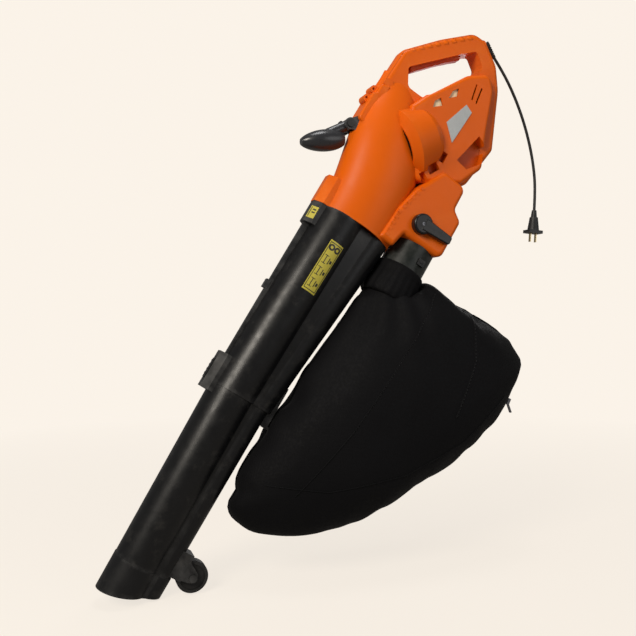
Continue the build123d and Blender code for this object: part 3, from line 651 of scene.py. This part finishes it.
creases(cloth_bag)
subdivide = cloth_bag.modifiers.new("subdivide", "SUBSURF")
subdivide.levels = 1
subdivide.render_levels = 1
subdivided = bpy.data.meshes.new_from_object(
    cloth_bag.evaluated_get(bpy.context.evaluated_depsgraph_get()))
cloth_bag.modifiers.clear()
cloth_bag.data = subdivided
for polygon in subdivided.polygons:
    polygon.use_smooth = True
dress(cloth_bag, looks["bag_cloth"])
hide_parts("bag")

bag_tree = tree_of(subdivided)


def on_bag(x, z, side, lift):
    """Point on the near (side -1) or far (side 1) surface of the bag, at x and z."""
    hit = bag_tree.ray_cast(Vector((x, side * 0.5, z)), Vector((0, -side, 0)))
    if hit[0] is None:
        return None
    return hit[0] + hit[1] * lift


def rim_of_bag(y, lift, steps, start, end):
    """Points round the bag's rim in the plane at y; start and end are in half turns."""
    centre = BAG_NECK + BAG_DOWN * 0.21 + BAG_WIDE * -0.12
    rim = []
    for step in range(steps + 1):
        a = math.pi * (start + (end - start) * step / steps)
        ray = BAG_DOWN * math.cos(a) + BAG_WIDE * math.sin(a)
        far = centre + ray * CAST_FROM + Vector((0, y, 0))
        hit = bag_tree.ray_cast(far, -ray)
        if hit[0] is not None:
            rim.append(hit[0] + hit[1] * lift)
    return rim


def bag_part(obj, slot, look=None):
    dress(obj, look or looks[slot])


# The piping runs from beside the neck right round to its other side
PIPING_RADIUS = 0.0016
piping_line = rim_of_bag(0.0, 0.0004, 180, -0.75, 0.82)
bag_part(line_object("bag_piping", piping_line, PIPING_RADIUS), "bag_cloth")

STITCH_PITCH = 0.006
STITCH_BESIDE = Vector((0.0022, 0, 0.0008))   # from a seam's ridge to its stitches
STITCH_FROM, STITCH_TO = 0.15, 0.70           # part of each step that shows its thread
SEAM_LONG = [(-0.020, -0.455), (-0.100, -0.560), (-0.200, -0.690), (-0.300, -0.800)]
SEAM_RADIUS = 0.0011
THREAD_RADIUS = 0.00035
SEAM_SHORT = [(0.052, -0.485), (0.040, -0.580), (-0.010, -0.680)]
SEAM_LOW = [(-0.345, -0.775), (-0.240, -0.790), (-0.100, -0.770), (0.020, -0.720),
            (0.120, -0.640)]


def panel_seam(name, places, side):
    """Ridge where two panels of the bag are sewn together, with stitches beside it."""
    line = []
    for (x0, z0), (x1, z1) in zip(places, places[1:]):
        steps = max(2, int(math.hypot(x1 - x0, z1 - z0) / STITCH_PITCH))
        for k in range(steps):
            f = k / steps
            point = on_bag(x0 + (x1 - x0) * f, z0 + (z1 - z0) * f, side, 0.0002)
            if point:
                line.append(point)
    bag_part(line_object(name, line, SEAM_RADIUS), "bag_cloth")
    for a, b in zip(line, line[1:]):
        stitches.append((a.lerp(b, STITCH_FROM) + STITCH_BESIDE,
                         a.lerp(b, STITCH_TO) + STITCH_BESIDE))


stitches = []
for side, tag in ((-1, "near"), (1, "far")):
    panel_seam("bag_seam_long_" + tag, SEAM_LONG, side)
    panel_seam("bag_seam_short_" + tag, SEAM_SHORT, side)
    panel_seam("bag_seam_low_" + tag, SEAM_LOW, side)


def stitch_mesh(name, runs, radius):
    """One mesh of short four-sided threads, one for each pair of ends in runs."""
    points, faces = [], []
    for a, b in runs:
        axis = (b - a).normalized()
        side = axis.orthogonal().normalized() * radius
        up = axis.cross(side).normalized() * radius
        base = len(points)
        for end in (a, b):
            points += [end + side, end + up, end - side, end - up]
        for k in range(4):
            j = (k + 1) % 4
            faces.append((base + k, base + j, base + 4 + j, base + 4 + k))
        faces += [(base + 3, base + 2, base + 1, base), (base + 4, base + 5, base + 6, base + 7)]
    return mesh_object(name, points, faces, False)


bag_part(stitch_mesh("bag_stitches", stitches, THREAD_RADIUS), "bag_cloth", thread_look)


ZIP_EDGES = (-0.004, 0.008)                   # y of the two rows that the teeth join
ZIP_LIFT = 0.0006
ZIP_STEPS = 150
ZIP_FROM, ZIP_TO = 0.10, 0.60                 # in half turns round the rim
ZIP_HEM = 0.006
TOOTH_RADIUS = 0.0009


def zip_round_the_rim():
    """Zip tape and teeth along the rim that faces away from the tube, where the slider sits."""
    rim, other = (rim_of_bag(y, ZIP_LIFT, ZIP_STEPS, ZIP_FROM, ZIP_TO) for y in ZIP_EDGES)
    count = min(len(rim), len(other))
    hem = Vector((0, ZIP_HEM, 0))
    points, faces = [], []
    for k in range(count):
        points += [rim[k] - hem, rim[k], other[k], other[k] + hem]
        if k:
            base = 4 * k
            for j in range(3):
                faces.append((base - 4 + j, base - 3 + j, base + 1 + j, base + j))
    bag_part(mesh_object("zip_tape", points, faces), "webbing")
    teeth = [(a.lerp(b, 0.30), a.lerp(b, 0.70)) for a, b in zip(rim[:count - 1], other)]
    bag_part(stitch_mesh("zip_teeth", teeth, TOOTH_RADIUS), "dark_metal")


zip_round_the_rim()

# Gathered cuff over the joint of the bag's neck and its ring: (s along the tube, radius)
CUFF_OFFSET = 0.157                           # from the tube's axis to the neck's
CUFF_STEPS = 132
CUFF_PLEATS = 22
PLEAT_HEIGHT = 0.0006
SAG_HEIGHT = 0.0012
CLOTH_THICKNESS = 0.0008
CUFF_PROFILE = [(-0.3865, 0.0468), (-0.3880, 0.0477), (-0.3980, 0.0480), (-0.4010, 0.0474),
                (-0.4040, 0.0481), (-0.4160, 0.0486), (-0.4230, 0.0497), (-0.4310, 0.0508),
                (-0.4390, 0.0510), (-0.4460, 0.0500), (-0.4500, 0.0465)]


def make_cuff():
    """Turned sleeve whose pleats and sag grow from its tight upper end."""
    steps = CUFF_STEPS
    points, faces = [], []
    side, up = BELOW, Vector((0, 1, 0))
    for row, (s, r) in enumerate(CUFF_PROFILE):
        slack = min(1.0, row / 6)
        for k in range(steps):
            a = 2 * math.pi * k / steps
            pleat = math.sin(a * CUFF_PLEATS + 0.5 * math.sin(a * 3)) * PLEAT_HEIGHT
            sag = noise.noise(Vector((math.cos(a) * 2, math.sin(a) * 2, s * 30))) * SAG_HEIGHT
            wide = r + (pleat + sag) * slack
            spoke = side * math.cos(a) + up * math.sin(a)
            points.append(tube_place(CUFF_OFFSET, s) + spoke * wide)
    for row in range(len(CUFF_PROFILE) - 1):
        for k in range(steps):
            j = (k + 1) % steps
            a, b = row * steps, (row + 1) * steps
            faces.append((a + k, b + k, b + j, a + j))
    cuff = mesh_object("bag_cuff", points, faces)
    solid = cuff.modifiers.new("thickness", "SOLIDIFY")
    solid.thickness = CLOTH_THICKNESS
    solid.offset = -1.0
    return cuff


bag_part(make_cuff(), "bag_cloth")


# ------------------------------------------------------------------ stickers
def channel_ring(s):
    """Offset and radius of the upper tube's suction channel at s."""
    f = (s - SEAM_S) / (FLANGE_S - SEAM_S)
    return (SEAM_RING[0] + (FLANGE_RING[0] - SEAM_RING[0]) * f,
            SEAM_RING[1] + (FLANGE_RING[1] - SEAM_RING[1]) * f)


def on_tube(s, angle, lift):
    """Point on the upper tube; angle goes from the tube's front edge over its near side."""
    offset, radius = channel_ring(s)
    r = radius + lift
    return tube_place(offset - r * math.cos(angle), s, -r * math.sin(angle))


def tube_patch(name, outline, lift, rows):
    """Thin patch on the tube; outline maps two fractions to (s, angle)."""
    points, faces = [], []
    for i in range(rows + 1):
        for j in range(rows + 1):
            s, angle = outline(i / rows, j / rows)
            points.append(on_tube(s, angle, lift))
    for i in range(rows):
        for j in range(rows):
            a = i * (rows + 1) + j
            faces.append((a, a + 1, a + rows + 2, a + rows + 1))
    return mesh_object(name, points, faces)


STICKER_S = (-0.524, -0.424)
STICKER_ANGLE = (1.41, 2.03)
TUBE_RADIUS = 0.046                           # near the sticker
STICKER_LIFT, PRINT_LIFT, DOT_LIFT = 0.0003, 0.00045, 0.0006


def sticker_rect(u0, u1, v0, v1):
    """Part of the sticker, in fractions of its length (u) and width (v)."""
    def place(a, b):
        u, v = u0 + (u1 - u0) * a, v0 + (v1 - v0) * b
        return (STICKER_S[0] + (STICKER_S[1] - STICKER_S[0]) * u,
                STICKER_ANGLE[0] + (STICKER_ANGLE[1] - STICKER_ANGLE[0]) * v)
    return place


def sticker_disc(u, v, radius):
    """Round spot of the sticker; radius is in metres."""
    s0 = STICKER_S[0] + (STICKER_S[1] - STICKER_S[0]) * u
    a0 = STICKER_ANGLE[0] + (STICKER_ANGLE[1] - STICKER_ANGLE[0]) * v

    def place(a, b):
        turn = 2 * math.pi * b
        return (s0 + radius * a * math.sin(turn),
                a0 + radius * a * math.cos(turn) / TUBE_RADIUS)
    return place


dress(tube_patch("tube_sticker", sticker_rect(0, 1, 0, 1), STICKER_LIFT, 14), yellow_print)

# A frame, two round spots, and rows of plain bars, in fractions of the sticker
SPOT_U, SPOTS_V = 0.88, (0.30, 0.72)
SPOT_RADIUS, DOT_RADIUS = 0.0062, 0.0028
BAR_ROWS, ROW_START, ROW_PITCH = 3, 0.09, 0.235
prints = [sticker_rect(0.03, 0.045, 0.06, 0.94), sticker_rect(0.955, 0.97, 0.06, 0.94),
          sticker_rect(0.03, 0.97, 0.06, 0.10), sticker_rect(0.03, 0.97, 0.90, 0.94),
          *(sticker_disc(SPOT_U, v, SPOT_RADIUS) for v in SPOTS_V)]
for row in range(BAR_ROWS):
    low = ROW_START + row * ROW_PITCH
    prints += [sticker_rect(low, low + 0.012, 0.18, 0.46),
               sticker_rect(low, low + 0.16, 0.30, 0.35),
               sticker_rect(low + 0.15, low + 0.162, 0.18, 0.46),
               sticker_rect(low + 0.02, low + 0.14, 0.56, 0.62),
               sticker_rect(low + 0.05, low + 0.11, 0.68, 0.82)]
for number, shape in enumerate(prints):
    dress(tube_patch("sticker_print_%d" % number, shape, PRINT_LIFT, 12), dark_print)
for number, v in enumerate(SPOTS_V):
    dot = sticker_disc(SPOT_U, v, DOT_RADIUS)
    dress(tube_patch("sticker_dot_%d" % number, dot, DOT_LIFT, 10), yellow_print)

# Small sticker on the chamfer of the tube's catch
catch_normal = (-BELOW + Vector((0, -1, 0))).normalized()
catch_side = (BELOW + Vector((0, -1, 0))).normalized()


def catch_patch(name, across0, across1, s0, s1, lift, material):
    """Flat patch on the chamfer, between two places across it and two along it."""
    centre = tube_place(-0.0455, 0, -0.0155)
    points = [centre + catch_side * a + ALONG * s + catch_normal * lift
              for a, s in ((across0, s0), (across1, s0), (across1, s1), (across0, s1))]
    dress(mesh_object(name, points, [(0, 1, 2, 3)], False), material)


catch_patch("catch_sticker", -0.0078, 0.0078, -0.4060, -0.3830, 0.0003, yellow_print)
catch_patch("catch_print_0", -0.0060, -0.0046, -0.4040, -0.3850, 0.0005, dark_print)
catch_patch("catch_print_1", -0.0020, 0.0050, -0.3960, -0.3935, 0.0005, dark_print)
catch_patch("catch_print_2", -0.0020, 0.0050, -0.3905, -0.3880, 0.0005, dark_print)


# ------------------------------------------------------------------ stage
MIDDLE = (-0.1, 0, -0.45)                     # of the blower, where the lights point
FLOOR_Z = cad_low[2] - 0.0006
FLOOR_RINGS = [0.5, 1.0, 1.5, 2.5, 4.0, 8.0, 20.0, 60.0]
FLOOR_STEPS = 48
FLOOR_COLOUR = (0.88, 0.82, 0.74)
CREAM = (0.965, 0.896, 0.811)
GLOW_NEAR, GLOW_FAR = 0.80, 1.0               # share of glow under the blower and far from it
GLOW_START, GLOW_END = 0.8, 2.4               # radii between which that share grows
GLOW_UNSEEN = 0.22                            # strength of the glow that lights the blower


def make_floor():
    """Round floor with soft shadows near the blower, glowing evenly into the backdrop."""
    points, faces = [(0, 0, FLOOR_Z)], []
    steps = FLOOR_STEPS
    for radius in FLOOR_RINGS:
        for k in range(steps):
            a = 2 * math.pi * k / steps
            points.append((radius * math.cos(a), radius * math.sin(a), FLOOR_Z))
    for k in range(steps):
        faces.append((0, 1 + k, 1 + (k + 1) % steps))
    for ring in range(len(FLOOR_RINGS) - 1):
        for k in range(steps):
            j = (k + 1) % steps
            a, b = 1 + ring * steps, 1 + (ring + 1) * steps
            faces.append((a + k, b + k, b + j, a + j))
    floor = mesh_object("floor", points, faces)
    material = bpy.data.materials.new("pale_floor")
    material.use_nodes = True
    tree = material.node_tree
    tree.nodes.clear()
    out = tree.nodes.new("ShaderNodeOutputMaterial")
    mix = tree.nodes.new("ShaderNodeMixShader")
    diffuse = tree.nodes.new("ShaderNodeBsdfDiffuse")
    glow = tree.nodes.new("ShaderNodeEmission")
    coords = tree.nodes.new("ShaderNodeTexCoord")
    length = tree.nodes.new("ShaderNodeVectorMath")
    length.operation = "LENGTH"
    fade = tree.nodes.new("ShaderNodeMapRange")
    diffuse.inputs["Color"].default_value = (*FLOOR_COLOUR, 1)
    glow.inputs["Color"].default_value = (*CREAM, 1)
    fade.inputs["From Min"].default_value = GLOW_START
    fade.inputs["From Max"].default_value = GLOW_END
    fade.inputs["To Min"].default_value = GLOW_NEAR
    fade.inputs["To Max"].default_value = GLOW_FAR
    put = tree.links.new
    put(coords.outputs["Object"], length.inputs[0])
    put(length.outputs["Value"], fade.inputs["Value"])
    put(fade.outputs["Result"], mix.inputs[0])
    put(diffuse.outputs[0], mix.inputs[1])
    put(glow.outputs[0], mix.inputs[2])
    put(mix.outputs[0], out.inputs["Surface"])
    rays = tree.nodes.new("ShaderNodeLightPath")
    dim = tree.nodes.new("ShaderNodeMapRange")
    dim.inputs["To Min"].default_value = GLOW_UNSEEN
    dim.inputs["To Max"].default_value = 1.0
    put(rays.outputs["Is Camera Ray"], dim.inputs["Value"])
    put(dim.outputs["Result"], glow.inputs["Strength"])
    floor.data.materials.append(material)


make_floor()

SOFT_LIGHT = (1.0, 0.97, 0.93)                # light of the surroundings, not seen itself
SOFT_STRENGTH = 0.20
world = bpy.data.worlds.new("studio")
bpy.context.scene.world = world
world.use_nodes = True
world_nodes = world.node_tree.nodes
world_links = world.node_tree.links
world_nodes.clear()
world_out = world_nodes.new("ShaderNodeOutputWorld")
world_mix = world_nodes.new("ShaderNodeMixShader")
path = world_nodes.new("ShaderNodeLightPath")
seen = world_nodes.new("ShaderNodeBackground")
soft = world_nodes.new("ShaderNodeBackground")
seen.inputs["Color"].default_value = (*CREAM, 1)
soft.inputs["Color"].default_value = (*SOFT_LIGHT, 1)
soft.inputs["Strength"].default_value = SOFT_STRENGTH
world_links.new(path.outputs["Is Camera Ray"], world_mix.inputs[0])
world_links.new(soft.outputs[0], world_mix.inputs[1])
world_links.new(seen.outputs[0], world_mix.inputs[2])
world_links.new(world_mix.outputs[0], world_out.inputs["Surface"])


def area_light(name, place, size, power, colour=(1, 1, 1)):
    """Round soft light that points at the blower's middle."""
    data = bpy.data.lights.new(name, "AREA")
    data.shape = "DISK"
    data.size = size
    data.energy = power
    data.color = colour
    light = link(bpy.data.objects.new(name, data))
    light.location = place
    aim = Vector(MIDDLE) - Vector(place)
    light.rotation_euler = aim.to_track_quat("-Z", "Y").to_euler()


area_light("key", (-1.9, -1.5, 0.7), 1.0, 50, (1.0, 0.93, 0.82))
area_light("fill", (1.3, -2.0, 0.2), 1.6, 9)
area_light("top", (-0.2, -0.2, 1.6), 0.8, 12)
area_light("back", (1.2, 1.9, 0.5), 1.4, 14)
